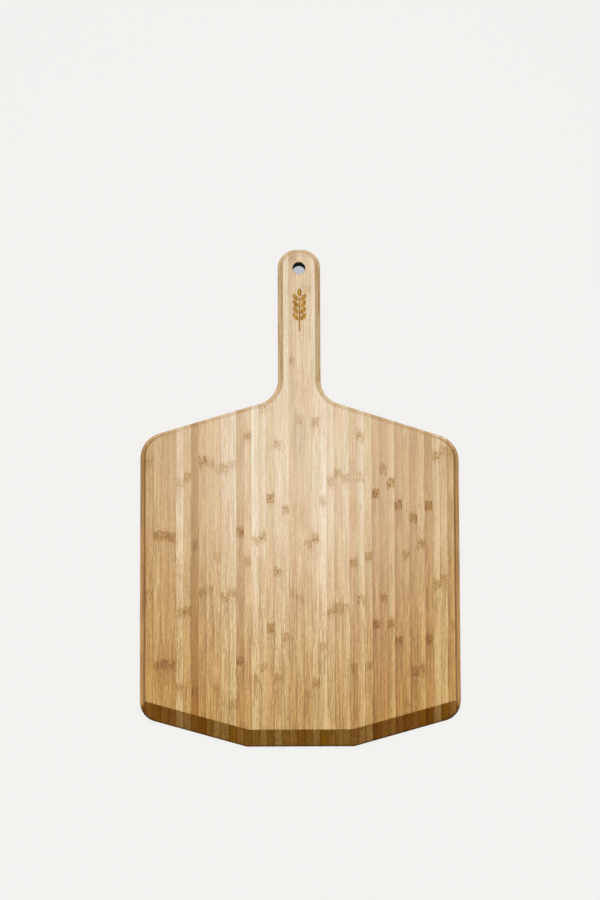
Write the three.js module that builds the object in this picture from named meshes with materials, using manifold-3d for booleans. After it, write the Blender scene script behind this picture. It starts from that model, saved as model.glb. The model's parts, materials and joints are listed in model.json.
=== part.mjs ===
// A pizza peel for a 12 inch oven: one board of upright bamboo strips, glued edge to edge.
//
// The board lies flat: +Z is up, through the serving face, and +Y runs along the handle.
// The origin is on the underside, at the middle of the board's length and width. Millimetres.
//
// The whole board is shaped first, as a joiner would cut it from a glued panel. Then it is
// sliced along its glue lines, so that each bamboo strip is a solid of its own.

import * as THREE from "three";
import { mergeVertices } from "three/addons/utils/BufferGeometryUtils.js";
import Module from "manifold-3d";

// ---------- driving dimensions ----------

const OVERALL_LENGTH = 488;
const BLADE_WIDTH = 305;
const NECK_FROM_FRONT = 340; // front edge to where the shoulders run into the handle's sides
const HANDLE_WIDTH = 41;
const THICKNESS = 12;

const FRONT_FLAT = 102; // straight middle of the front edge
const FRONT_ANGLE = THREE.MathUtils.degToRad(15.9); // of the two slanting front edges
const LEFT_SHOULDER_ANGLE = THREE.MathUtils.degToRad(16.8);
const RIGHT_SHOULDER_ANGLE = THREE.MathUtils.degToRad(18.2); // falls away a little more

const FRONT_FLAT_RADIUS = 6;
const FRONT_CORNER_RADIUS = 19;
const SHOULDER_RADIUS = 25.5;
const NECK_RADIUS = 24.5;
const HANDLE_TIP_RADIUS = 18;

const CHAMFER_WIDTH = 4.9; // round the top edge, seen from above
const CHAMFER_DEPTH = 5.5;
const UNDERSIDE_EASE = 0.8; // small 45 degree break along the bottom edge

const BEVEL_RUN = 13.9; // the front bevel's width, seen from above
const TIP_THICKNESS = 2; // what the front bevel leaves at the front edge
const BEVEL_BLEND_RADIUS = 42; // where two bevels meet at the serving face

const HOLE_DIAMETER = 12;
const HOLE_FROM_TIP = 19.8; // hole centre to the end of the handle

const STRIP_WIDTH = 7.2;
const FULL_STRIPS_A_SIDE = 20; // either side of the centre strip, before the trimmed edge strip
const HANDLE_STRIPS_A_SIDE = 3; // of those, the ones that run on into the handle
const GLUE_LINE_SHIFT = 0.6; // of the centre strip's middle from the board's centre line

const ARC_DIVISIONS = 12;
const HOLE_SEGMENTS = 64;
const TOOL_OVERSHOOT = 20; // how far a cutting solid runs past the board

// ---------- places worked out from them ----------

const FRONT_Y = -OVERALL_LENGTH / 2;
const TIP_Y = OVERALL_LENGTH / 2;
const BLADE_HALF = BLADE_WIDTH / 2;
const HANDLE_HALF = HANDLE_WIDTH / 2;
const FLAT_HALF = FRONT_FLAT / 2;
const FRONT_CORNER_Y = FRONT_Y + (BLADE_HALF - FLAT_HALF) * Math.tan(FRONT_ANGLE);
const NECK_Y = FRONT_Y + NECK_FROM_FRONT;
const HOLE_Y = TIP_Y - HOLE_FROM_TIP;

// ---------- bamboo tones ----------

const TONES = {
  ivory: 0xdec4a2,
  pale: 0xd8ba94,
  straw: 0xd2af84,
  tan: 0xcaa578,
  caramel: 0xc29a6e,
  brown: 0xb68a5a,
};

// From the centre strip outwards on each side, with the trimmed edge strip last.
const CENTRE_TONE = "straw";
const LEFT_TONES = [
  "tan", "pale", "pale",
  "straw", "pale", "ivory", "straw", "caramel", "ivory", "pale", "straw", "straw",
  "tan", "brown", "straw", "ivory", "tan", "tan", "straw", "tan",
  "caramel",
];
const RIGHT_TONES = [
  "straw", "pale", "ivory",
  "pale", "straw", "pale", "tan", "pale", "straw", "caramel", "caramel", "straw",
  "caramel", "tan", "caramel", "straw", "caramel", "pale", "pale", "tan",
  "caramel",
];

const wasm = await Module();
wasm.setup();

// ---------- solids ----------

// A three.js geometry as a manifold-3d solid, for cutting.
function toSolid(geometry) {
  const bare = geometry.clone();
  bare.deleteAttribute("normal");
  bare.deleteAttribute("uv");
  const merged = mergeVertices(bare);
  const mesh = new wasm.Mesh({
    numProp: 3,
    vertProperties: new Float32Array(merged.attributes.position.array),
    triVerts: new Uint32Array(merged.index.array),
  });
  return new wasm.Manifold(mesh);
}

// And back, for the scene.
function toGeometry(solid) {
  const mesh = solid.getMesh();
  const geometry = new THREE.BufferGeometry();
  geometry.setAttribute("position", new THREE.BufferAttribute(mesh.vertProperties, 3));
  geometry.setIndex(new THREE.BufferAttribute(mesh.triVerts, 1));
  geometry.computeVertexNormals();
  return geometry;
}

// A closed outline through the corners, each rounded to its own radius.
function roundedOutline(corners) {
  const shape = new THREE.Shape();
  corners.forEach((corner, i) => {
    const point = new THREE.Vector2(corner.x, corner.y);
    const before = corners[(i + corners.length - 1) % corners.length];
    const after = corners[(i + 1) % corners.length];
    const back = new THREE.Vector2(before.x, before.y).sub(point).normalize();
    const onward = new THREE.Vector2(after.x, after.y).sub(point).normalize();
    const half = Math.acos(back.dot(onward)) / 2;
    const entry = point.clone().addScaledVector(back, corner.r / Math.tan(half));
    const exit = point.clone().addScaledVector(onward, corner.r / Math.tan(half));
    const toCentre = back.clone().add(onward).normalize();
    const centre = point.clone().addScaledVector(toCentre, corner.r / Math.sin(half));
    const start = entry.clone().sub(centre).angle();
    const end = exit.clone().sub(centre).angle();
    const clockwise = back.cross(onward) > 0;
    if (i === 0) shape.moveTo(entry.x, entry.y);
    else shape.lineTo(entry.x, entry.y);
    shape.absarc(centre.x, centre.y, corner.r, start, end, clockwise);
  });
  shape.closePath();
  return shape;
}

// One side's corners, from the front edge to the end of the handle.
function sideCorners(side, shoulderAngle) {
  const shoulderY = NECK_Y - (BLADE_HALF - HANDLE_HALF) * Math.tan(shoulderAngle);
  return [
    { x: side * FLAT_HALF, y: FRONT_Y, r: FRONT_FLAT_RADIUS },
    { x: side * BLADE_HALF, y: FRONT_CORNER_Y, r: FRONT_CORNER_RADIUS },
    { x: side * BLADE_HALF, y: shoulderY, r: SHOULDER_RADIUS },
    { x: side * HANDLE_HALF, y: NECK_Y, r: NECK_RADIUS },
    { x: side * HANDLE_HALF, y: TIP_Y, r: HANDLE_TIP_RADIUS },
  ];
}

function boardOutline() {
  const right = sideCorners(1, RIGHT_SHOULDER_ANGLE);
  const left = sideCorners(-1, LEFT_SHOULDER_ANGLE);
  return roundedOutline([...right, ...left.reverse()]);
}

// The outline as a slab from bottom to top, with both rims sloped off by width and depth.
function slopedSlab(outline, bottom, top, width, depth) {
  const slab = new THREE.ExtrudeGeometry(outline, {
    depth: top - bottom - 2 * depth,
    bevelEnabled: true,
    bevelThickness: depth,
    bevelSize: width,
    bevelOffset: -width,
    bevelSegments: 1,
    curveSegments: ARC_DIVISIONS,
  });
  slab.translate(0, 0, bottom + depth);
  return toSolid(slab);
}

// The chamfer comes off the top rim only, and the small ease off the bottom rim only: each
// slab runs past the board at its other end, and the board is what both slabs hold.
function chamferedBoard() {
  const outline = boardOutline();
  const top = slopedSlab(outline, -TOOL_OVERSHOOT, THICKNESS, CHAMFER_WIDTH, CHAMFER_DEPTH);
  const overTop = THICKNESS + TOOL_OVERSHOOT;
  const bottom = slopedSlab(outline, 0, overTop, UNDERSIDE_EASE, UNDERSIDE_EASE);
  return top.intersect(bottom);
}

// Everything above a plane that rises inwards from the front edge. The plane passes through
// (x, FRONT_Y, TIP_THICKNESS), turned by angle in plan, and reaches the top after run.
function bevelTool(x, angle, run) {
  const reach = OVERALL_LENGTH;
  const tool = new THREE.BoxGeometry(reach, reach, TOOL_OVERSHOOT);
  tool.translate(0, 0, TOOL_OVERSHOOT / 2);
  tool.rotateX(Math.atan2(THICKNESS - TIP_THICKNESS, run));
  tool.rotateZ(angle);
  tool.translate(x, FRONT_Y, TIP_THICKNESS);
  return toSolid(tool);
}

// Three planes bevel the front edge, and a fourth and fifth soften the ridges between them.
function frontBevel() {
  const halfTurn = FRONT_ANGLE / 2;
  const ridgeRun = BEVEL_RUN / Math.cos(halfTurn);
  const softened = ridgeRun + BEVEL_BLEND_RADIUS * (1 / Math.cos(halfTurn) - 1);
  const cuts = [bevelTool(0, 0, BEVEL_RUN)];
  for (const side of [-1, 1]) {
    cuts.push(bevelTool(side * FLAT_HALF, side * FRONT_ANGLE, BEVEL_RUN));
    cuts.push(bevelTool(side * FLAT_HALF, side * halfTurn, softened));
  }
  return cuts.reduce((all, cut) => all.add(cut));
}

function hangingHole() {
  const drill = new THREE.CylinderGeometry(
    HOLE_DIAMETER / 2,
    HOLE_DIAMETER / 2,
    THICKNESS + TOOL_OVERSHOOT,
    HOLE_SEGMENTS,
  );
  drill.rotateX(Math.PI / 2);
  drill.translate(0, HOLE_Y, THICKNESS / 2);
  return toSolid(drill);
}

// A box over the whole thickness, between two glue lines and two places along the board.
function slice(fromX, toX, fromY, toY) {
  const block = new THREE.BoxGeometry(toX - fromX, toY - fromY, THICKNESS + TOOL_OVERSHOOT);
  const position = block.attributes.position;
  for (let i = 0; i < position.count; i += 1) {
    position.setX(i, position.getX(i) < 0 ? fromX : toX);
    position.setY(i, position.getY(i) < 0 ? fromY : toY);
  }
  block.translate(0, 0, THICKNESS / 2);
  return toSolid(block);
}

// ---------- the strips ----------

const board = chamferedBoard().subtract(frontBevel()).subtract(hangingHole());
const peel = new THREE.Group();

const FRONT_END = FRONT_Y - TOOL_OVERSHOOT;
const HANDLE_END = TIP_Y + TOOL_OVERSHOOT;

function addStrip(name, tone, fromX, toX, fromY = FRONT_END, toY = HANDLE_END) {
  const solid = board.intersect(slice(fromX, toX, fromY, toY));
  const material = new THREE.MeshStandardMaterial({
    color: TONES[tone],
    roughness: 0.62,
    metalness: 0,
  });
  const mesh = new THREE.Mesh(toGeometry(solid), material);
  mesh.name = name;
  peel.add(mesh);
}

// The hole is wider than the centre strip, so it leaves that strip as two pieces.
function addCentreStrip() {
  const fromX = GLUE_LINE_SHIFT - STRIP_WIDTH / 2;
  const toX = GLUE_LINE_SHIFT + STRIP_WIDTH / 2;
  addStrip("centre_strip", CENTRE_TONE, fromX, toX, FRONT_END, HOLE_Y);
  addStrip("centre_strip_tip", CENTRE_TONE, fromX, toX, HOLE_Y, HANDLE_END);
}

function stripName(word, count) {
  if (count > FULL_STRIPS_A_SIDE) return `edge_strip_${word}`;
  if (count <= HANDLE_STRIPS_A_SIDE) return `handle_strip_${word}_${count}`;
  const place = String(count - HANDLE_STRIPS_A_SIDE).padStart(2, "0");
  return `blade_strip_${word}_${place}`;
}

// side is -1 for the left half and 1 for the right half. The last strip ends at the board's
// own edge, so its slice runs past that.
function addHalf(word, side, tones) {
  tones.forEach((tone, i) => {
    const count = i + 1;
    const isEdge = count > FULL_STRIPS_A_SIDE;
    const inner = GLUE_LINE_SHIFT + side * (count - 0.5) * STRIP_WIDTH;
    const outer = isEdge
      ? side * (BLADE_HALF + TOOL_OVERSHOOT)
      : GLUE_LINE_SHIFT + side * (count + 0.5) * STRIP_WIDTH;
    addStrip(stripName(word, count), tone, Math.min(inner, outer), Math.max(inner, outer));
  });
}

addCentreStrip();
addHalf("left", -1, LEFT_TONES);
addHalf("right", 1, RIGHT_TONES);

export default peel;
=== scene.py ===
"""Looks for the bamboo pizza peel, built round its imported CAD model.

Metres, in the model's own frame: the board lies flat with its serving face up (+Z) and its
handle along +Y, and the origin is on the underside, at the middle of its length and width.

The board is shaped once as a fine mesh, with every arris eased, and cut along the CAD
model's glue lines into one piece for each bamboo strip.
"""

import json
import math
from functools import reduce
from random import Random

import bmesh
import bpy
from mathutils import Matrix, Vector


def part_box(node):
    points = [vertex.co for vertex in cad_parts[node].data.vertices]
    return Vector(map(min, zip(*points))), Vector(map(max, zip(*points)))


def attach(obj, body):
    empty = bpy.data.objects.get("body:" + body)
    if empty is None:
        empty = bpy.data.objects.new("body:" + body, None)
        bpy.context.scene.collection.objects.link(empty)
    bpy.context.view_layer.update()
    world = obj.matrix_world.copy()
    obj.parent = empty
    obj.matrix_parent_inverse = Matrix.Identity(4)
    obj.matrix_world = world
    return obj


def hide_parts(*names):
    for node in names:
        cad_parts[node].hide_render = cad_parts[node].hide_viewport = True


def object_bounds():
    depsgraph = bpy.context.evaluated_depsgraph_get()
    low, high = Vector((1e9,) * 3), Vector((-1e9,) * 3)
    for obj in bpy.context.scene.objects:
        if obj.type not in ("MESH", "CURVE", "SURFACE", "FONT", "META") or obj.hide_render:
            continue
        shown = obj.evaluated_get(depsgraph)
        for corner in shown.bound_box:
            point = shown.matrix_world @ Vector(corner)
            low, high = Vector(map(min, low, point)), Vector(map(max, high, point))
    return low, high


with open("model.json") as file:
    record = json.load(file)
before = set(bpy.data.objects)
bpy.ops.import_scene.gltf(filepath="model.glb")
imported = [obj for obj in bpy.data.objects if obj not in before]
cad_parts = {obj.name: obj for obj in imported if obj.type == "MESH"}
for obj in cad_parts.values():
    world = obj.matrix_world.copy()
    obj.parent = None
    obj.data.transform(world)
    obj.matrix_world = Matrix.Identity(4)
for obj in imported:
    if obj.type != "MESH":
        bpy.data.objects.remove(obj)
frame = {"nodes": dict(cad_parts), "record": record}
CAD_LOW, CAD_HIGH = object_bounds()

MM = 0.001

# ---------- the board's shape ----------

# Worked out from the frame.
FRONT_Y = CAD_LOW.y
TIP_Y = CAD_HIGH.y
BLADE_HALF = (CAD_HIGH.x - CAD_LOW.x) / 2
THICKNESS = CAD_HIGH.z - CAD_LOW.z

# The same driving dimensions as the CAD model has, where no node's box gives them.
NECK_FROM_FRONT = 340 * MM
HANDLE_HALF = 20.5 * MM
FLAT_HALF = 51 * MM
FRONT_ANGLE = math.radians(15.9)
LEFT_SHOULDER_ANGLE = math.radians(16.8)
RIGHT_SHOULDER_ANGLE = math.radians(18.2)
FRONT_FLAT_RADIUS = 6 * MM
FRONT_CORNER_RADIUS = 19 * MM
SHOULDER_RADIUS = 25.5 * MM
NECK_RADIUS = 24.5 * MM
HANDLE_TIP_RADIUS = 18 * MM
CHAMFER_WIDTH = 4.9 * MM
CHAMFER_DEPTH = 5.5 * MM
UNDERSIDE_EASE = 0.8 * MM
BEVEL_RUN = 13.9 * MM
TIP_THICKNESS = 2 * MM
BEVEL_BLEND_RADIUS = 42 * MM
HOLE_RADIUS = 6 * MM
HOLE_FROM_TIP = 19.8 * MM
STRIP_WIDTH = 7.2 * MM

# The burnt-in mark, an ear of wheat.
MARK_X = 0.5 * MM
MARK_LOW = 161 * MM
MARK_TOP = 204 * MM
MARK_DEPTH = 0.2 * MM
STEM_HALF = 0.8 * MM
GRAIN_LENGTH = 8.6 * MM
GRAIN_WIDTH = 4.2 * MM
GRAIN_GAP = 0.6 * MM
GRAIN_PITCH = 6.4 * MM
GRAIN_PAIRS = 4
GRAIN_LEAN = math.radians(32)
GRAIN_BLUNTNESS = 0.4
GRAIN_SEGMENTS = 10

# Softening that only the visual model has.
ARRIS_RADIUS = 1.0 * MM
EASE_RADIUS = 0.5 * MM
BEVEL_CREASE = 0.25 * MM
CREASE_STEPS = (-3, -1.5, -0.75, 0, 0.75, 1.5, 3)
HOLE_EASE = 0.6 * MM

# How finely the mesh is made, and how close counts as one point, flat, or upright.
RIM_STEP = 0.8 * MM
CORNER_SEGMENTS = 20
ARRIS_SEGMENTS = 4
HOLE_SEGMENTS = 64
SAME_POINT = 0.01 * MM
ON_THE_CUT = 0.002 * MM
FLAT_ANGLE = math.radians(0.2)
SHARP_ANGLE = math.radians(30)
UPRIGHT_NORMAL = 0.1

NECK_Y = FRONT_Y + NECK_FROM_FRONT
HOLE_Y = TIP_Y - HOLE_FROM_TIP
FRONT_CORNER_Y = FRONT_Y + (BLADE_HALF - FLAT_HALF) * math.tan(FRONT_ANGLE)


def arc_points(before, corner, after, radius, segments):
    """Points of the round that replaces a corner, from the side of before to that of after."""
    back = (before - corner).normalized()
    onward = (after - corner).normalized()
    half = back.angle(onward) / 2
    middle = (back + onward).normalized()
    centre = corner + middle * (radius / math.sin(half))
    reach = radius / math.tan(half)
    start = corner + back * reach - centre
    end = corner + onward * reach - centre
    turn = start.angle_signed(end) if radius > 0 else 0
    points = []
    for i in range(segments + 1):
        swing = Matrix.Rotation(-turn * i / segments, 2)
        points.append(centre + swing @ start)
    return points


def side_corners(side, shoulder_angle):
    """One side's corners and their radii, from the front edge to the end of the handle."""
    shoulder_y = NECK_Y - (BLADE_HALF - HANDLE_HALF) * math.tan(shoulder_angle)
    return [
        (Vector((side * FLAT_HALF, FRONT_Y)), FRONT_FLAT_RADIUS),
        (Vector((side * BLADE_HALF, FRONT_CORNER_Y)), FRONT_CORNER_RADIUS),
        (Vector((side * BLADE_HALF, shoulder_y)), SHOULDER_RADIUS),
        (Vector((side * HANDLE_HALF, NECK_Y)), NECK_RADIUS),
        (Vector((side * HANDLE_HALF, TIP_Y)), HANDLE_TIP_RADIUS),
    ]


def outline(inset):
    """The board's plan outline, moved in by inset, always with the same number of points."""
    corners = side_corners(1, RIGHT_SHOULDER_ANGLE)
    corners += reversed(side_corners(-1, LEFT_SHOULDER_ANGLE))
    moved = []
    for i, (corner, radius) in enumerate(corners):
        back = (corners[i - 1][0] - corner).normalized()
        onward = (corners[(i + 1) % len(corners)][0] - corner).normalized()
        half = back.angle(onward) / 2
        concave = back.cross(onward) > 0
        inwards = (back + onward).normalized() * (-1 if concave else 1)
        place = corner + inwards * (inset / math.sin(half))
        moved.append((place, radius + inset if concave else max(radius - inset, 0)))
    points = []
    for i, (corner, radius) in enumerate(moved):
        before, after = moved[i - 1][0], moved[(i + 1) % len(moved)][0]
        points += arc_points(before, corner, after, radius, CORNER_SEGMENTS)
    return points


def edge_profile():
    """The rim's section as (inset, height), from the underside round to the serving face.

    The first and the last corner lie on the flat faces, past the rim.
    """
    wall_top = THICKNESS - CHAMFER_DEPTH
    corners = [
        (Vector((3 * UNDERSIDE_EASE, 0)), 0),
        (Vector((UNDERSIDE_EASE, 0)), EASE_RADIUS),
        (Vector((0, UNDERSIDE_EASE)), EASE_RADIUS),
        (Vector((0, wall_top)), ARRIS_RADIUS),
        (Vector((CHAMFER_WIDTH, THICKNESS)), ARRIS_RADIUS),
        (Vector((2 * CHAMFER_WIDTH, THICKNESS)), 0),
    ]
    profile = [corners[0][0]]
    for i in range(1, len(corners) - 1):
        corner, radius = corners[i]
        before, after = corners[i - 1][0], corners[i + 1][0]
        profile += arc_points(before, corner, after, radius, ARRIS_SEGMENTS)
    crease = [BEVEL_RUN + step * BEVEL_CREASE for step in CREASE_STEPS]
    profile += [Vector((inset, THICKNESS)) for inset in crease]
    return in_short_steps(profile, RIM_STEP)


def in_short_steps(line, longest):
    """The same line of points, with every step that is too long cut into even ones."""
    points = [line[0]]
    for before, after in zip(line, line[1:]):
        steps = math.ceil((after - before).length / longest)
        points += [before.lerp(after, (i + 1) / steps) for i in range(steps)]
    return points


def soft_min(a, b, radius):
    """The smaller of two heights, with the crease between them rounded."""
    overlap = max(radius - abs(a - b), 0) / radius
    return min(a, b) - overlap * overlap * radius / 4


def bevel_height(x, y):
    """Height of the front bevel's surface over a point: three planes and two ridge planes."""
    slope = (THICKNESS - TIP_THICKNESS) / BEVEL_RUN
    half_turn = FRONT_ANGLE / 2
    ridge_run = BEVEL_RUN / math.cos(half_turn)
    ridge_run += BEVEL_BLEND_RADIUS * (1 / math.cos(half_turn) - 1)
    ridge_slope = (THICKNESS - TIP_THICKNESS) / ridge_run
    height = (y - FRONT_Y) * slope
    for turn, rise in ((FRONT_ANGLE, slope), (half_turn, ridge_slope)):
        inwards = Vector((-math.sin(turn), math.cos(turn)))
        distance = Vector((abs(x) - FLAT_HALF, y - FRONT_Y)).dot(inwards)
        height = min(height, distance * rise)
    return TIP_THICKNESS + height


def shape_board():
    """The whole board as one closed mesh: a ring of points for each step of the rim.

    Every point keeps how far in from the outline it is, for the dark arris line and painted rim
    shade.
    """
    bm = bmesh.new()
    inset = bm.verts.layers.float.new("inset")
    rings = []
    for step in edge_profile():
        ring = []
        for point in outline(step.x):
            height = soft_min(step.y, bevel_height(point.x, point.y), 2 * BEVEL_CREASE)
            ring.append(bm.verts.new((point.x, point.y, max(height, 0))))
            ring[-1][inset] = step.x
        rings.append(ring)
    for lower, upper in zip(rings, rings[1:]):
        for i in range(len(lower)):
            j = (i + 1) % len(lower)
            bm.faces.new((lower[i], lower[j], upper[j], upper[i]))
    bm.faces.new(rings[-1])
    bm.faces.new(reversed(rings[0]))
    bmesh.ops.remove_doubles(bm, verts=bm.verts, dist=SAME_POINT)
    caps = [f for f in bm.faces if len(f.verts) > 4]
    bmesh.ops.triangulate(bm, faces=caps)
    bmesh.ops.recalc_face_normals(bm, faces=bm.faces)
    return bm


def cut_off(bm, place, direction):
    """Removes what lies past a plane, and closes the cut with one face."""
    geometry = bm.verts[:] + bm.edges[:] + bm.faces[:]
    cut = bmesh.ops.bisect_plane(
        bm, geom=geometry, plane_co=place, plane_no=direction, dist=ON_THE_CUT, clear_outer=True
    )
    edges = [g for g in cut["geom_cut"] if isinstance(g, bmesh.types.BMEdge)]
    edges = [e for e in edges if e.is_boundary]
    bmesh.ops.edgeloop_fill(bm, edges=edges)


def strip_mesh(board, node):
    """The part of the board that lies in a CAD strip's own box."""
    low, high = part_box(node)
    bm = board.copy()
    if low.x > CAD_LOW.x + MM:
        cut_off(bm, (low.x, 0, 0), (-1, 0, 0))
    if high.x < CAD_HIGH.x - MM:
        cut_off(bm, (high.x, 0, 0), (1, 0, 0))
    if node == "centre_strip":
        cut_off(bm, (0, HOLE_Y, 0), (0, 1, 0))
    if node == "centre_strip_tip":
        cut_off(bm, (0, HOLE_Y, 0), (0, -1, 0))
    bmesh.ops.dissolve_limit(bm, angle_limit=FLAT_ANGLE, verts=bm.verts, edges=bm.edges)
    bmesh.ops.recalc_face_normals(bm, faces=bm.faces)
    mesh = bpy.data.meshes.new(node)
    bm.to_mesh(mesh)
    bm.free()
    return mesh


def add_rings(bm, sections):
    """Adds a closed solid through a list of rings of points, each ring a level of its own."""
    rings = [[bm.verts.new(point) for point in section] for section in sections]
    for lower, upper in zip(rings, rings[1:]):
        for i in range(len(lower)):
            j = (i + 1) % len(lower)
            bm.faces.new((lower[i], lower[j], upper[j], upper[i]))
    bm.faces.new(rings[-1])
    bm.faces.new(reversed(rings[0]))


def make_tool(name, bm, *materials):
    """A shape to carve with, whose materials stay on the faces it leaves."""
    bmesh.ops.recalc_face_normals(bm, faces=bm.faces)
    mesh = bpy.data.meshes.new(name)
    bm.to_mesh(mesh)
    bm.free()
    for material in materials:
        mesh.materials.append(material)
    tool = bpy.data.objects.new(name, mesh)
    bpy.context.scene.collection.objects.link(tool)
    return tool


def grain(x, y, lean):
    """A pointed oval that starts at x, y and leans to the right by an angle."""
    outward = Vector((math.sin(lean), math.cos(lean)))
    sideways = Vector((outward.y, -outward.x))
    points = []
    for i in range(2 * GRAIN_SEGMENTS):
        turn = math.tau * i / (2 * GRAIN_SEGMENTS)
        along = GRAIN_LENGTH * (1 - math.cos(turn)) / 2
        bulge = GRAIN_WIDTH / 2 * math.sin(turn) * abs(math.sin(turn)) ** GRAIN_BLUNTNESS
        points.append(Vector((x, y)) + outward * along + sideways * bulge)
    return points


def mark_cutter():
    """The mark burnt into the handle: an ear of wheat, as a stem and grains of even depth."""
    stem_top = MARK_TOP - GRAIN_LENGTH - GRAIN_GAP
    stem = [(-1, MARK_LOW), (1, MARK_LOW), (1, stem_top), (-1, stem_top)]
    shapes = [[(side * STEM_HALF, y) for side, y in stem], grain(0, stem_top + GRAIN_GAP, 0)]
    for i in range(GRAIN_PAIRS):
        y = stem_top - GRAIN_GAP - i * GRAIN_PITCH - GRAIN_PITCH / 2
        for side in (-1, 1):
            shapes.append(grain(side * (STEM_HALF + GRAIN_GAP), y, side * GRAIN_LEAN))
    bm = bmesh.new()
    for shape in shapes:
        floor = [(MARK_X + x, y, THICKNESS - MARK_DEPTH) for x, y in shape]
        lid = [(x, y, THICKNESS + MARK_DEPTH) for x, y, _ in floor]
        add_rings(bm, [floor, lid])
    return make_tool("burnt_mark", bm, scorched("burnt_bamboo", BURNT))


def hole_cutter():
    """The drill for the hanging hole: straight, and flared where it meets each face.

    The straight wall is burnt near black, partly as painted shade, and the flares are rubbed bare.
    """
    flare = HOLE_EASE * (1 - math.cos(math.radians(45)))
    profile = [
        (-HOLE_EASE, HOLE_RADIUS + 2 * HOLE_EASE),
        (0, HOLE_RADIUS + HOLE_EASE),
        (flare, HOLE_RADIUS + flare),
        (HOLE_EASE, HOLE_RADIUS),
    ]
    levels = profile + [(THICKNESS - z, radius) for z, radius in reversed(profile)]
    sections = []
    for z, radius in levels:
        ring = []
        for i in range(HOLE_SEGMENTS):
            angle = math.tau * (i + 0.5) / HOLE_SEGMENTS
            ring.append((radius * math.cos(angle), HOLE_Y + radius * math.sin(angle), z))
        sections.append(ring)
    bm = bmesh.new()
    add_rings(bm, sections)
    bm.normal_update()
    for face in bm.faces:
        face.material_index = 0 if abs(face.normal.z) < UPRIGHT_NORMAL else 1
    charred_and_shade = scorched("charred_and_shaded_bamboo", CHARRED_AND_SHADE)
    return make_tool("hanging_hole", bm, charred_and_shade, scorched("rubbed_bamboo", RUBBED))


# ---------- the bamboo ----------


class Nodes:
    """A short way to write a material's or a world's nodes as a formula."""

    def __init__(self, owner):
        owner.use_nodes = True
        self.tree = owner.node_tree
        self.tree.nodes.clear()

    def add(self, kind, inputs=(), **settings):
        node = self.tree.nodes.new(kind)
        for key, value in settings.items():
            setattr(node, key, value)
        for key, value in dict(inputs).items():
            self.put(node.inputs[key], value)
        return node

    def put(self, socket, value):
        if isinstance(value, bpy.types.NodeSocket):
            self.tree.links.new(value, socket)
        else:
            socket.default_value = value

    def math(self, operation, *values, clamp=False):
        inputs = dict(enumerate(values))
        return self.add("ShaderNodeMath", inputs, operation=operation, use_clamp=clamp).outputs[0]

    def plus(self, *values):
        return reduce(lambda a, b: self.math("ADD", a, b), values)

    def minus(self, a, b):
        return self.math("SUBTRACT", a, b)

    def times(self, *values):
        return reduce(lambda a, b: self.math("MULTIPLY", a, b), values)

    def vector(self, operation, *values):
        node = self.add("ShaderNodeVectorMath", dict(enumerate(values)), operation=operation)
        single = operation in ("DOT_PRODUCT", "DISTANCE", "LENGTH")
        return node.outputs["Value" if single else "Vector"]

    def join(self, x, y, z):
        return self.add("ShaderNodeCombineXYZ", {0: x, 1: y, 2: z}).outputs[0]

    def split(self, vector):
        return self.add("ShaderNodeSeparateXYZ", {0: vector}).outputs

    def of_piece(self, name, output="Fac"):
        """A number or three that the piece itself carries."""
        node = self.add("ShaderNodeAttribute", attribute_type="OBJECT", attribute_name=name)
        return node.outputs[output]

    def of_point(self, name):
        """A number that each point of the mesh carries."""
        node = self.add("ShaderNodeAttribute", attribute_type="GEOMETRY", attribute_name=name)
        return node.outputs["Fac"]

    def noise(self, vector, detail=2.0, roughness=0.5, distortion=0.0):
        inputs = {
            "Vector": vector,
            "Scale": 1.0,
            "Detail": detail,
            "Roughness": roughness,
            "Distortion": distortion,
        }
        return self.add("ShaderNodeTexNoise", inputs).outputs["Fac"]

    def spread(self, value, low, high, to_low=0.0, to_high=1.0):
        """Eases from to_low, where the value is low, to to_high, where it is high."""
        inputs = {0: value, 1: low, 2: high, 3: to_low, 4: to_high}
        node = self.add("ShaderNodeMapRange", inputs, interpolation_type="SMOOTHSTEP")
        return node.outputs[0]

    def spread_each(self, vector, low, high, to_low, to_high):
        """The same spread for each of a vector's three numbers."""
        node = self.add(
            "ShaderNodeMapRange", data_type="FLOAT_VECTOR", interpolation_type="SMOOTHSTEP"
        )
        self.put(node.inputs["Vector"], vector)
        limits = zip(node.inputs[7:11], (low, high, to_low, to_high))
        for socket, value in limits:
            socket.default_value = (value, value, value)
        return node.outputs["Vector"]

    def mix(self, factor, a, b, blend="MIX"):
        node = self.add("ShaderNodeMix", data_type="RGBA", blend_type=blend)
        self.put(node.inputs["Factor"], factor)
        self.put(node.inputs[6], a)
        self.put(node.inputs[7], b)
        return node.outputs[2]

    def tint(self, colour, factors):
        return self.mix(1.0, colour, (*factors, 1), "MULTIPLY")


def linear(red, green, blue):
    """A display colour from 0 to 255 as Blender's linear colour."""
    channels = []
    for value in (red, green, blue):
        share = value / 255
        channels.append(share / 12.92 if share <= 0.04045 else ((share + 0.055) / 1.055) ** 2.4)
    return (*channels, 1.0)


# From here to the scorched material, every length is in millimetres, a frequency is per
# millimetre, and a display colour runs from 0 to 255.

TONES = {
    "ivory": (207, 175, 121),
    "pale": (201, 166, 108),
    "straw": (194, 155, 92),
    "tan": (188, 146, 82),
    "caramel": (180, 135, 71),
    "brown": (167, 118, 44),
}

# What a display tone is multiplied by, for its pale ground, its fibres and its darkest hairs.
PITH = (1.08, 1.09, 1.12)
FIBRE = (0.86, 0.79, 0.64)
HAIR = (0.76, 0.64, 0.48)

# What a linear colour is multiplied by.
ROSY = (1.03, 0.98, 0.99)
GREENISH = (0.98, 1.01, 0.975)
KNUCKLE_STAIN = (0.61, 0.42, 0.0)
# Darker oiled end grain, and painted shade on the front bevel, which faces away from the light.
CUT_ACROSS_AND_SHADE = (0.42, 0.27, 0.02)
# Painted highlight: the tint that pales the serving face where the sheen's highlight falls.
PAINTED_HIGHLIGHT_TINT = (0.99, 1.17, 1.88)

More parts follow.
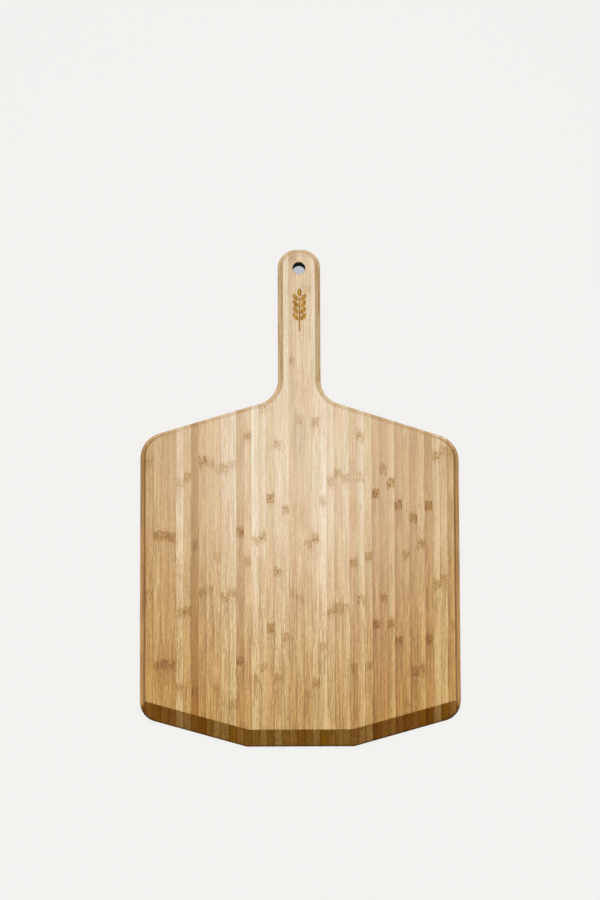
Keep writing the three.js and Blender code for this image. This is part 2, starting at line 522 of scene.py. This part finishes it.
GLUE_BROWN = (120, 76, 36)
# The darker glue colour is also the painted shade along the bevel's thin front edge.
GLUE_DARK_AND_RIM_SHADE = (60, 36, 12)
ARRIS_BROWN = (116, 72, 12)
BURNT = (178, 133, 62)
# Burnt wood, made near black as the hole wall's painted shade; the floor's painted shadow by the
# hole uses it too.
CHARRED_AND_SHADE = (6, 4, 3)
RUBBED = (200, 172, 132)

# The painted highlight on the serving face: a pale oval that is open towards the handle.
PALE_FROM = 30
PALE_LENGTH = 230
PALE_HALF_WIDTH = 290

# Layers of fibres: how wide and how long they are, and where in the noise each layer lies.
FINE = (0.5, 30, 3.1)
FLECKS = (0.6, 5, 53.3)
STREAKS = (0.9, 70, 17.9)
BROAD = (3.2, 130, 11.7)
CLOUD = (9.0, 60, 23.9)
HAIRS = (0.7, 20, 41.3)
HUES = (2.8, 60, 67.7)
FINE_ROUGHNESS = 0.6
DEPTH_STRETCH = 0.4  # how fast the fibres change through the board, against across it

# How much each layer darkens a strip, round this start.
SHADE_START = 0.45
SHADES = ((FLECKS, 2.4), (STREAKS, 1.4), (BROAD, 1.2), (CLOUD, 1.0))
FINE_SHADE = 5.2
TAIL_SHADE = 0.35
HAIR_SHADE = 0.6

SWERVE_FREQUENCY = (0.5, 0.12)
SWERVE = 4

KNUCKLE_LENGTH = 9
KNUCKLE_BLURS = (2.0, 1.0)  # at its lower and its upper end
RAGGED_FREQUENCY = 1.1
RAGGED_REACH = 14
CURL_FREQUENCY = (0.9, 0.55)
CURL_DETAIL = (3.0, 0.65, 1.0)
CURL_BY_DARKNESS = 0.06
TAIL_LENGTH = 16
TAIL_BLUR = 3

SEAM_FREQUENCY = 0.02
SEAM_ON_END_GRAIN = 0.6
SHADE_KEEPS = 0.7  # the share of its colour that the painted highlight leaves to the darkest fibre
BACK_FACING = 0.3
ARRIS_LINE_INSET = 0.86 * CHAMFER_WIDTH / MM

# Spreads, as Nodes.spread takes them: from and to, and what they give there if not 0 and 1.
END_GRAIN_BY_LEAN = (0.1, 0.5)
UPWARDS_BY_FACING = (0.5, 0.9)
PALE_BY_DISTANCE = (0, 1, 1.0, 0.0)
# Under the painted highlight the fibres and the glue lines show less.
SHADE_BY_HIGHLIGHT = (0, 1, 1.0, 0.5)
SEAM_BY_HIGHLIGHT = (0, 1, 1.0, 0.35)
MARK_BY_CURL = (0.53, 0.60, 0.12, 1.2)
MARK_BY_DARKNESS = (0, 1, 0.42, 1.15)
HAIR_BY_NOISE = (0.68, 0.74)
HUE_BY_NOISE = (0.35, 0.65)
SEAM_BY_NOISE = (0.42, 0.65)
SEAM_BY_DISTANCE = (0.1, 0.7, 0.75, 0.0)
ARRIS_LINE_BY_DISTANCE = (0.4, 1.2, 1.0, 0.0)
ARRIS_LINE_BY_SIDE = (110, 150, 0.15, 0.75)
RIM_BY_INSET = (0.2, 1.8, 0.7, 0.0)
ROUGHNESS_BY_FIBRE = (0.2, 0.8, 0.2, 0.3)

SHEEN_LEVEL = 0.5
KNUCKLE_ROUGHNESS = 0.25  # more than the fibres have
FIBRE_RELIEF = 0.6
HAIR_RELIEF = 0.4
KNUCKLE_RELIEF = 0.5
RELIEF_STRENGTH = 0.25
RELIEF_DEPTH = 0.12 * MM  # in metres, as the bump node takes it

# By strip, counted from the centre and negative to the left: how dark its knuckles are, and
# where they are along the board.
KNUCKLES = {
    -20: (0.5, 30, -98),
    -19: (1.0, -41, -167),
    -18: (1.0, -41, -166),
    -17: (1.0, -42, -167),
    -16: (0.5, 10, -116, -189),
    -15: (0.7, 16, -115),
    -14: (0.6, -50, -194),
    -13: (0.7, 32, -97),
    -12: (0.4, 31, -93),
    -11: (0.4, 25, -62, -190),
    -10: (0.6, 26, -101),
    -9: (0.5, 29, -97, -205),
    -8: (0.9, -37, -163),
    -7: (0.5, 57, -66),
    -6: (0.4, -46, -181),
    -5: (0.5, 84, -42, -170),
    -4: (0.8, -4, -131),
    -3: (0.5, 49, -76, -179),
    -2: (0.5, -15, -140),
    -1: (0.2, 234, 131, -98),
    0: (0.3, 72, -104),
    1: (0.3, 202, -50, -197),
    2: (0.6, 71, -43, -185),
    3: (0.4, 120, -7, -150),
    4: (0.4, 12, -116),
    5: (0.5, 20, -112),
    6: (0.4, 15, -113),
    7: (0.5, -68, -170),
    8: (0.5, 56, 16, -104),
    9: (0.6, -62, -169),
    10: (1.0, 0, -128),
    11: (0.5, 25, -102),
    12: (0.9, 10, -127),
    13: (1.0, -11, -144),
    14: (0.4, -61, -207),
    15: (1.0, -24, -174),
    16: (0.6, -50, -172),
    17: (1.0, -11, -142),
    18: (0.7, 37, -90),
    19: (0.5, 42, -84),
    20: (0.3, 40, -129),
}
PLAIN_STRIP = (0.0,)  # the edge strips show no knuckle
MOST_KNUCKLES = 3
NO_KNUCKLE = 1000.0  # a place no strip reaches


def tinted(tone, factors):
    return linear(*(value * factor for value, factor in zip(TONES[tone], factors)))


class Spot:
    """Where a point of a strip is, and how far its surface is end grain or looks upwards."""

    def __init__(self, n):
        place = n.add("ShaderNodeTexCoord").outputs["Object"]
        self.x, self.y, self.z = n.split(n.vector("MULTIPLY", place, (1 / MM,) * 3))
        self.seed = n.of_piece("seed")
        self.across = n.minus(self.x, n.of_piece("middle"))
        self.inset = n.times(n.of_point("inset"), 1 / MM)
        normal = n.split(n.add("ShaderNodeNewGeometry").outputs["Normal"])
        # Only faces turned to the front, away from the light, count as end grain here.
        self.end_grain = n.spread(n.times(normal[1], -1), *END_GRAIN_BY_LEAN)
        facing = n.spread(n.plus(normal[2], n.times(normal[1], BACK_FACING)), *UPWARDS_BY_FACING)
        self.upwards = n.math("SUBTRACT", facing, self.end_grain, clamp=True)


def knuckle_marks(n, spot):
    """How dark a point is in the small curls of a knuckle, and in the browner stretch below."""
    ragged = n.noise(n.join(n.times(spot.x, RAGGED_FREQUENCY), spot.seed, 0))
    along = n.plus(spot.y, n.times(n.minus(ragged, 0.5), RAGGED_REACH))
    past = n.vector("SUBTRACT", n.join(along, along, along), n.of_piece("knuckles", "Vector"))

    def within(low, low_blur, high, high_blur):
        start = n.spread_each(past, low - low_blur, low + low_blur, 0, 1)
        end = n.spread_each(past, high - high_blur, high + high_blur, 1, 0)
        return n.vector("DOT_PRODUCT", start, end)

    half = KNUCKLE_LENGTH / 2
    lower_blur, upper_blur = KNUCKLE_BLURS
    patch = within(-half, lower_blur, half, upper_blur)
    darkness = n.of_piece("darkness")
    across, lengthways = CURL_FREQUENCY
    curl = n.join(n.times(spot.x, across), n.times(spot.y, lengthways), spot.seed)
    curl = n.plus(n.noise(curl, *CURL_DETAIL), n.times(darkness, CURL_BY_DARKNESS))
    mark = n.times(patch, n.spread(curl, *MARK_BY_CURL), n.spread(darkness, *MARK_BY_DARKNESS))
    tail = n.times(within(-half - TAIL_LENGTH, TAIL_LENGTH, half, TAIL_BLUR), darkness)
    return mark, tail


def painted_highlight(n, spot):
    """How much painted highlight a point gets: most on the serving face's middle and the handle.
    """
    below = n.math("MINIMUM", n.minus(spot.y, PALE_FROM), 0)
    sideways = n.math("DIVIDE", spot.x, PALE_HALF_WIDTH)
    away = n.join(sideways, n.math("DIVIDE", below, PALE_LENGTH), 0)
    return n.times(n.spread(n.vector("LENGTH", away), *PALE_BY_DISTANCE), spot.upwards)


def fibre_noise(n, spot, tail):
    """A function that makes the noise of a layer of fibres, which swerve round a knuckle."""
    across, lengthways = SWERVE_FREQUENCY
    swerve = n.noise(n.join(n.times(spot.x, across), n.times(spot.y, lengthways), spot.seed))
    fibre_x = n.plus(spot.x, n.times(n.minus(swerve, 0.5), n.times(tail, SWERVE)))

    def fibres(layer, roughness=0.5):
        width, length, offset = layer
        vector = n.join(
            n.times(fibre_x, 1 / width),
            n.plus(n.times(spot.y, 1 / length), offset),
            n.plus(n.times(spot.z, DEPTH_STRETCH / width), spot.seed),
        )
        return n.noise(vector, roughness=roughness)

    return fibres


def fibre_shade(n, spot, fine, fibres, tail, highlight_share):
    """How dark the fibres make a point, from 0, the pith's tone, to 1, the darkest fibre's."""
    shade = n.times(n.minus(fine, 0.5), FINE_SHADE)
    for layer, amount in SHADES:
        shade = n.plus(shade, n.times(n.minus(fibres(layer), 0.5), amount))
    shade = n.plus(shade, n.times(spot.across, n.of_piece("lean")), n.times(tail, TAIL_SHADE))
    shade = n.math("ADD", shade, SHADE_START, clamp=True)
    # Under the painted highlight the fibres lose some of their contrast.
    return n.times(shade, n.spread(highlight_share, *SHADE_BY_HIGHLIGHT))


def glue_line(n, spot, highlight_share):
    """How far a point is on a glue line, which comes and goes along the strip's two sides."""
    from_side = n.minus(n.times(n.of_piece("width"), 0.5), n.math("ABSOLUTE", spot.across))
    place = n.join(n.times(spot.y, SEAM_FREQUENCY), n.math("SIGN", spot.across), spot.seed)
    seam = n.spread(n.noise(place, 1.0), *SEAM_BY_NOISE)
    seam = n.math("MAXIMUM", seam, n.times(spot.end_grain, SEAM_ON_END_GRAIN))
    seam = n.times(seam, n.spread(from_side, *SEAM_BY_DISTANCE))
    # The glue lines fade under the painted highlight.
    return n.times(seam, n.spread(highlight_share, *SEAM_BY_HIGHLIGHT))


def arris_line(n, spot):
    """How far a point of the chamfer is darkened below its arris, most along the blade's two
    sides.
    """
    from_line = n.math("ABSOLUTE", n.minus(spot.inset, ARRIS_LINE_INSET))
    outwards = n.spread(n.math("ABSOLUTE", spot.x), *ARRIS_LINE_BY_SIDE)
    arris_share = n.times(n.spread(from_line, *ARRIS_LINE_BY_DISTANCE), outwards)
    return n.times(arris_share, n.minus(1, spot.end_grain))


def bamboo(tone):
    """Upright bamboo: straight fibres along Y, darker to one side of each strip, with knuckles."""
    material = bpy.data.materials.new("bamboo_" + tone)
    n = Nodes(material)
    spot = Spot(n)
    mark, tail = knuckle_marks(n, spot)
    highlight_share = painted_highlight(n, spot)
    fibres = fibre_noise(n, spot, tail)
    fine = fibres(FINE, FINE_ROUGHNESS)
    hairs = n.spread(fibres(HAIRS), *HAIR_BY_NOISE)
    shade = fibre_shade(n, spot, fine, fibres, tail, highlight_share)

    colour = n.mix(shade, tinted(tone, PITH), tinted(tone, FIBRE))
    colour = n.mix(n.times(hairs, HAIR_SHADE), colour, tinted(tone, HAIR))
    hue = n.spread(fibres(HUES), *HUE_BY_NOISE)
    colour = n.mix(1.0, colour, n.mix(hue, (*GREENISH, 1), (*ROSY, 1)), "MULTIPLY")

    # Painted highlight: a pale veil painted into the pale ground, less into the fibres and
    # knuckles.
    highlight_pale = n.times(highlight_share, n.minus(1, n.times(shade, SHADE_KEEPS)))
    colour = n.mix(highlight_pale, colour, n.tint(colour, PAINTED_HIGHLIGHT_TINT))
    colour = n.mix(mark, colour, n.tint(colour, KNUCKLE_STAIN))

    # Darker end grain at the front: oil in the cut fibres, and painted shade away from the light.
    oil_and_shade = n.times(spot.end_grain, n.of_piece("thirst_and_shade"))
    colour = n.mix(oil_and_shade, colour, n.tint(colour, CUT_ACROSS_AND_SHADE))

    glue = n.mix(spot.end_grain, linear(*GLUE_BROWN), linear(*GLUE_DARK_AND_RIM_SHADE))
    colour = n.mix(glue_line(n, spot, highlight_share), colour, glue)
    colour = n.mix(arris_line(n, spot), colour, linear(*ARRIS_BROWN))

    # Painted shade along the thin front edge, the darkest part of the bevel.
    rim = n.times(n.spread(spot.inset, *RIM_BY_INSET), spot.end_grain)
    colour = n.mix(rim, colour, linear(*GLUE_DARK_AND_RIM_SHADE))

    relief = n.minus(n.times(fine, FIBRE_RELIEF), n.times(hairs, HAIR_RELIEF))
    relief = n.minus(relief, n.times(mark, KNUCKLE_RELIEF))
    bump = {"Strength": RELIEF_STRENGTH, "Distance": RELIEF_DEPTH, "Height": relief}
    rough = n.plus(n.spread(fine, *ROUGHNESS_BY_FIBRE), n.times(mark, KNUCKLE_ROUGHNESS))
    return finished(material, n, colour, rough, bump, SHEEN_LEVEL)


def finished(material, n, colour, rough, bump, sheen):
    """The material, with its shader made from its colour, roughness, bump and sheen."""
    shader = n.add("ShaderNodeBsdfPrincipled", {"Base Color": colour, "Roughness": rough})
    shader.inputs["Specular IOR Level"].default_value = sheen
    n.put(shader.inputs["Normal"], n.add("ShaderNodeBump", bump).outputs[0])
    n.add("ShaderNodeOutputMaterial", {"Surface": shader.outputs[0]})
    return material


# The scorched wood of the mark and the hole. Its lengths are in metres.
SCORCHED_STREAK = (1.1 * MM, 14 * MM, 2 * MM)
PIT = 0.5 * MM
PALER = 1.12
DARKER = 0.84
PALER_BY_NOISE = (0.3, 0.7)
ROUGHNESS_BY_PIT = (0.3, 0.7, 0.5, 0.7)
PIT_STRENGTH = 0.3
PIT_DEPTH = 0.1 * MM
DULL_LEVEL = 0.06


def scorched(name, colour):
    """Bamboo darkened by heat: streaks along the fibres and a dull, slightly pitted surface."""
    material = bpy.data.materials.new(name)
    n = Nodes(material)
    place = n.add("ShaderNodeTexCoord").outputs["Object"]
    streaks = n.noise(n.vector("MULTIPLY", place, [1 / size for size in SCORCHED_STREAK]), 3.0)
    pits = n.noise(n.vector("MULTIPLY", place, (1 / PIT,) * 3))
    light = linear(*(min(PALER * value, 255) for value in colour))
    dark = linear(*(DARKER * value for value in colour))
    tone = n.mix(n.spread(streaks, *PALER_BY_NOISE), dark, light)
    bump = {"Strength": PIT_STRENGTH, "Distance": PIT_DEPTH, "Height": pits}
    return finished(material, n, tone, n.spread(pits, *ROUGHNESS_BY_PIT), bump, DULL_LEVEL)


# ---------- the strips ----------

RANDOM_SEED = 12
LAST_PLACE = 500  # how far into the noise a strip's own pattern may lie
LEAN = 0.1  # the most that a strip's shade changes across it, for each millimetre
RIGHT_LEAN = 0.12  # how much more the right half's strips darken towards their left sides
THIRST_AND_SHADE = (0.4, 1.05)  # the least and the most that a strip's front end grain is darkened, by oil and painted shade
OUTER_THIRST_AND_SHADE = 0.25  # and how much more the outermost ones do


def slot_of(node):
    """The record's material slot for a CAD node."""
    for subpart in frame["record"]["subparts"]:
        if subpart["node"] == node:
            return subpart["material_slot"]
    raise KeyError(node)


def strip_number(node):
    """Which strip a node is: 0 at the centre, counted outwards, negative to the left."""
    low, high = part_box(node)
    if node.startswith("centre_strip"):
        return 0
    inner = min(abs(low.x), abs(high.x))
    number = round(inner / STRIP_WIDTH + 0.5)
    return number if low.x > 0 else -number


def carve(piece, tool):
    drill = piece.modifiers.new(tool.name, "BOOLEAN")
    drill.operation = "DIFFERENCE"
    drill.solver = "EXACT"
    drill.material_mode = "TRANSFER"
    drill.object = tool


def set_looks(piece, node, random):
    """Gives a strip the numbers that its material reads, in millimetres."""
    low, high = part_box(node)
    middle = (low.x + high.x) / 2
    darkness, *places = KNUCKLES.get(strip_number(node), PLAIN_STRIP)
    places += [NO_KNUCKLE] * (MOST_KNUCKLES - len(places))
    piece["knuckles"] = [float(place) for place in places]
    piece["darkness"] = darkness
    piece["middle"] = middle / MM
    piece["width"] = (high.x - low.x) / MM
    piece["seed"] = random.uniform(0, LAST_PLACE)
    piece["lean"] = random.uniform(-LEAN, LEAN) - (RIGHT_LEAN if low.x > 0 else 0)
    piece["thirst_and_shade"] = random.uniform(*THIRST_AND_SHADE) + OUTER_THIRST_AND_SHADE * abs(middle) / BLADE_HALF


def add_strip(board, node, materials, tools, random):
    """One bamboo strip, which stands for its CAD node."""
    piece = bpy.data.objects.new(node + "_bamboo", strip_mesh(board, node))
    bpy.context.scene.collection.objects.link(piece)
    slot = slot_of(node)
    piece.data.materials.append(materials[slot])
    low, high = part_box(node)
    for tool in tools:
        reach = [corner[0] for corner in tool.bound_box]
        if low.x < max(reach) and high.x > min(reach):
            carve(piece, tool)
    set_looks(piece, node, random)
    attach(piece, "root")
    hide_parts(node)
    return piece


def apply_carving(pieces, tools):
    """Makes every carving part of its piece's own mesh, and clears the tools away."""
    bpy.context.view_layer.update()
    depsgraph = bpy.context.evaluated_depsgraph_get()
    carved = [(p, bpy.data.meshes.new_from_object(p.evaluated_get(depsgraph))) for p in pieces]
    for piece, mesh in carved:
        uncarved = piece.data
        piece.modifiers.clear()
        piece.data = mesh
        bpy.data.meshes.remove(uncarved)
        mesh.set_sharp_from_angle(angle=SHARP_ANGLE)
        piece.modifiers.new("flat_faces", "WEIGHTED_NORMAL").keep_sharp = True
    for tool in tools:
        bpy.data.objects.remove(tool)


# ---------- camera, light and floor ----------

CAMERA_TILT = math.radians(14)
CAMERA_ROLL = math.radians(-0.2)
CAMERA_DISTANCE = 6.36
CAMERA_LENS = 265.6
SENSOR_WIDTH = 36
VIEW_END = 100
AIM = Vector((0.0005, 0.0433, THICKNESS))
PAPER = (243, 242, 240)
SHADED_PAPER = (192, 197, 205)
HOLE_SHADOW = 0.8 * MM
PAPER_GLOW = 0.95
FLOOR_HALF = 30
ROOM_LIGHT = 0.08

# Soft lights: name, place, what it points at, size and power in watts.
LIGHTS = (
    ("strip_light", (0, 0.33, 0.90), (0, 0.10, 0), (0.3, 0.6), 3.0),
    ("back_panel", (0, 5.2, 3.2), (0, 0, 0), (4, 4), 230),
    ("left_edge_panel", (-1.5, 0.1, 0.3), (0, 0.1, 0), (1.2, 0.5), 0.6),
    ("right_edge_panel", (1.5, 0.1, 0.3), (0, 0.1, 0), (1.2, 0.5), 0.3),
    ("left_front_panel", (-0.6, -0.35, 0.5), (0, 0, 0), (0.4, 0.4), 2.3),
    ("right_front_panel", (0.6, -0.35, 0.5), (0, 0, 0), (0.4, 0.4), 2.3),
)


def add_camera():
    data = bpy.data.cameras.new("camera")
    data.lens = CAMERA_LENS
    data.sensor_width = SENSOR_WIDTH
    data.clip_end = VIEW_END
    camera = bpy.data.objects.new("camera", data)
    turn = Matrix.Rotation(CAMERA_TILT, 4, "X") @ Matrix.Rotation(CAMERA_ROLL, 4, "Z")
    back = Matrix.Translation((0, 0, CAMERA_DISTANCE))
    camera.matrix_world = Matrix.Translation(AIM) @ turn @ back
    bpy.context.scene.collection.objects.link(camera)
    bpy.context.scene.camera = camera


def add_area_light(name, place, target, size, power):
    data = bpy.data.lights.new(name, "AREA")
    data.shape = "ELLIPSE"
    data.size, data.size_y = size
    data.energy = power
    light = bpy.data.objects.new(name, data)
    light.location = place
    light.rotation_euler = (Vector(target) - Vector(place)).to_track_quat("-Z", "Y").to_euler()
    bpy.context.scene.collection.objects.link(light)


def floor_material():
    """Plain paper, in shade where the board covers it, which shows only through the hole.

    Next to the hole's wall on the handle's side the shade is nearly black.
    """
    material = bpy.data.materials.new("studio_floor")
    n = Nodes(material)
    place = n.add("ShaderNodeTexCoord").outputs["Object"]
    from_hole = n.vector("DISTANCE", place, (0, HOLE_Y, 0))
    shade = n.spread(from_hole, HOLE_RADIUS, 2 * HOLE_RADIUS, 1.0, 0.0)
    from_lit = n.vector("DISTANCE", place, (0, HOLE_Y - HOLE_SHADOW, 0))
    wall_shade = n.spread(from_lit, HOLE_RADIUS - HOLE_SHADOW / 4, HOLE_RADIUS + HOLE_SHADOW / 4)
    shaded = n.mix(wall_shade, linear(*SHADED_PAPER), linear(*CHARRED_AND_SHADE))
    colour = n.mix(shade, linear(*PAPER), shaded)
    paper = n.add("ShaderNodeBsdfDiffuse", {"Color": colour})
    glow = n.add("ShaderNodeEmission", {"Color": colour})
    mixed = n.add("ShaderNodeMixShader", {0: PAPER_GLOW, 1: paper.outputs[0], 2: glow.outputs[0]})
    n.add("ShaderNodeOutputMaterial", {"Surface": mixed.outputs[0]})
    return material


def add_floor():
    bm = bmesh.new()
    bmesh.ops.create_grid(bm, x_segments=1, y_segments=1, size=FLOOR_HALF)
    mesh = bpy.data.meshes.new("floor")
    bm.to_mesh(mesh)
    bm.free()
    mesh.materials.append(floor_material())
    floor = bpy.data.objects.new("floor", mesh)
    bpy.context.scene.collection.objects.link(floor)


def add_world():
    """A pale room that shows behind the floor in low views, but gives little light itself."""
    world = bpy.data.worlds.new("studio")
    n = Nodes(world)
    seen = n.add("ShaderNodeLightPath").outputs["Is Camera Ray"]
    strength = n.spread(seen, 0, 1, ROOM_LIGHT, 1)
    room = n.add("ShaderNodeBackground", {"Color": linear(*PAPER), "Strength": strength})
    n.add("ShaderNodeOutputWorld", {"Surface": room.outputs[0]})
    bpy.context.scene.world = world


bpy.context.scene.view_settings.view_transform = "Standard"
add_camera()
add_world()
add_floor()
for light in LIGHTS:
    add_area_light(*light)

materials = {"bamboo_" + tone: bamboo(tone) for tone in TONES}
board = shape_board()
tools = [hole_cutter(), mark_cutter()]
random = Random(RANDOM_SEED)
nodes = sorted(frame["nodes"])
pieces = [add_strip(board, node, materials, tools, random) for node in nodes]
apply_carving(pieces, tools)
board.free()
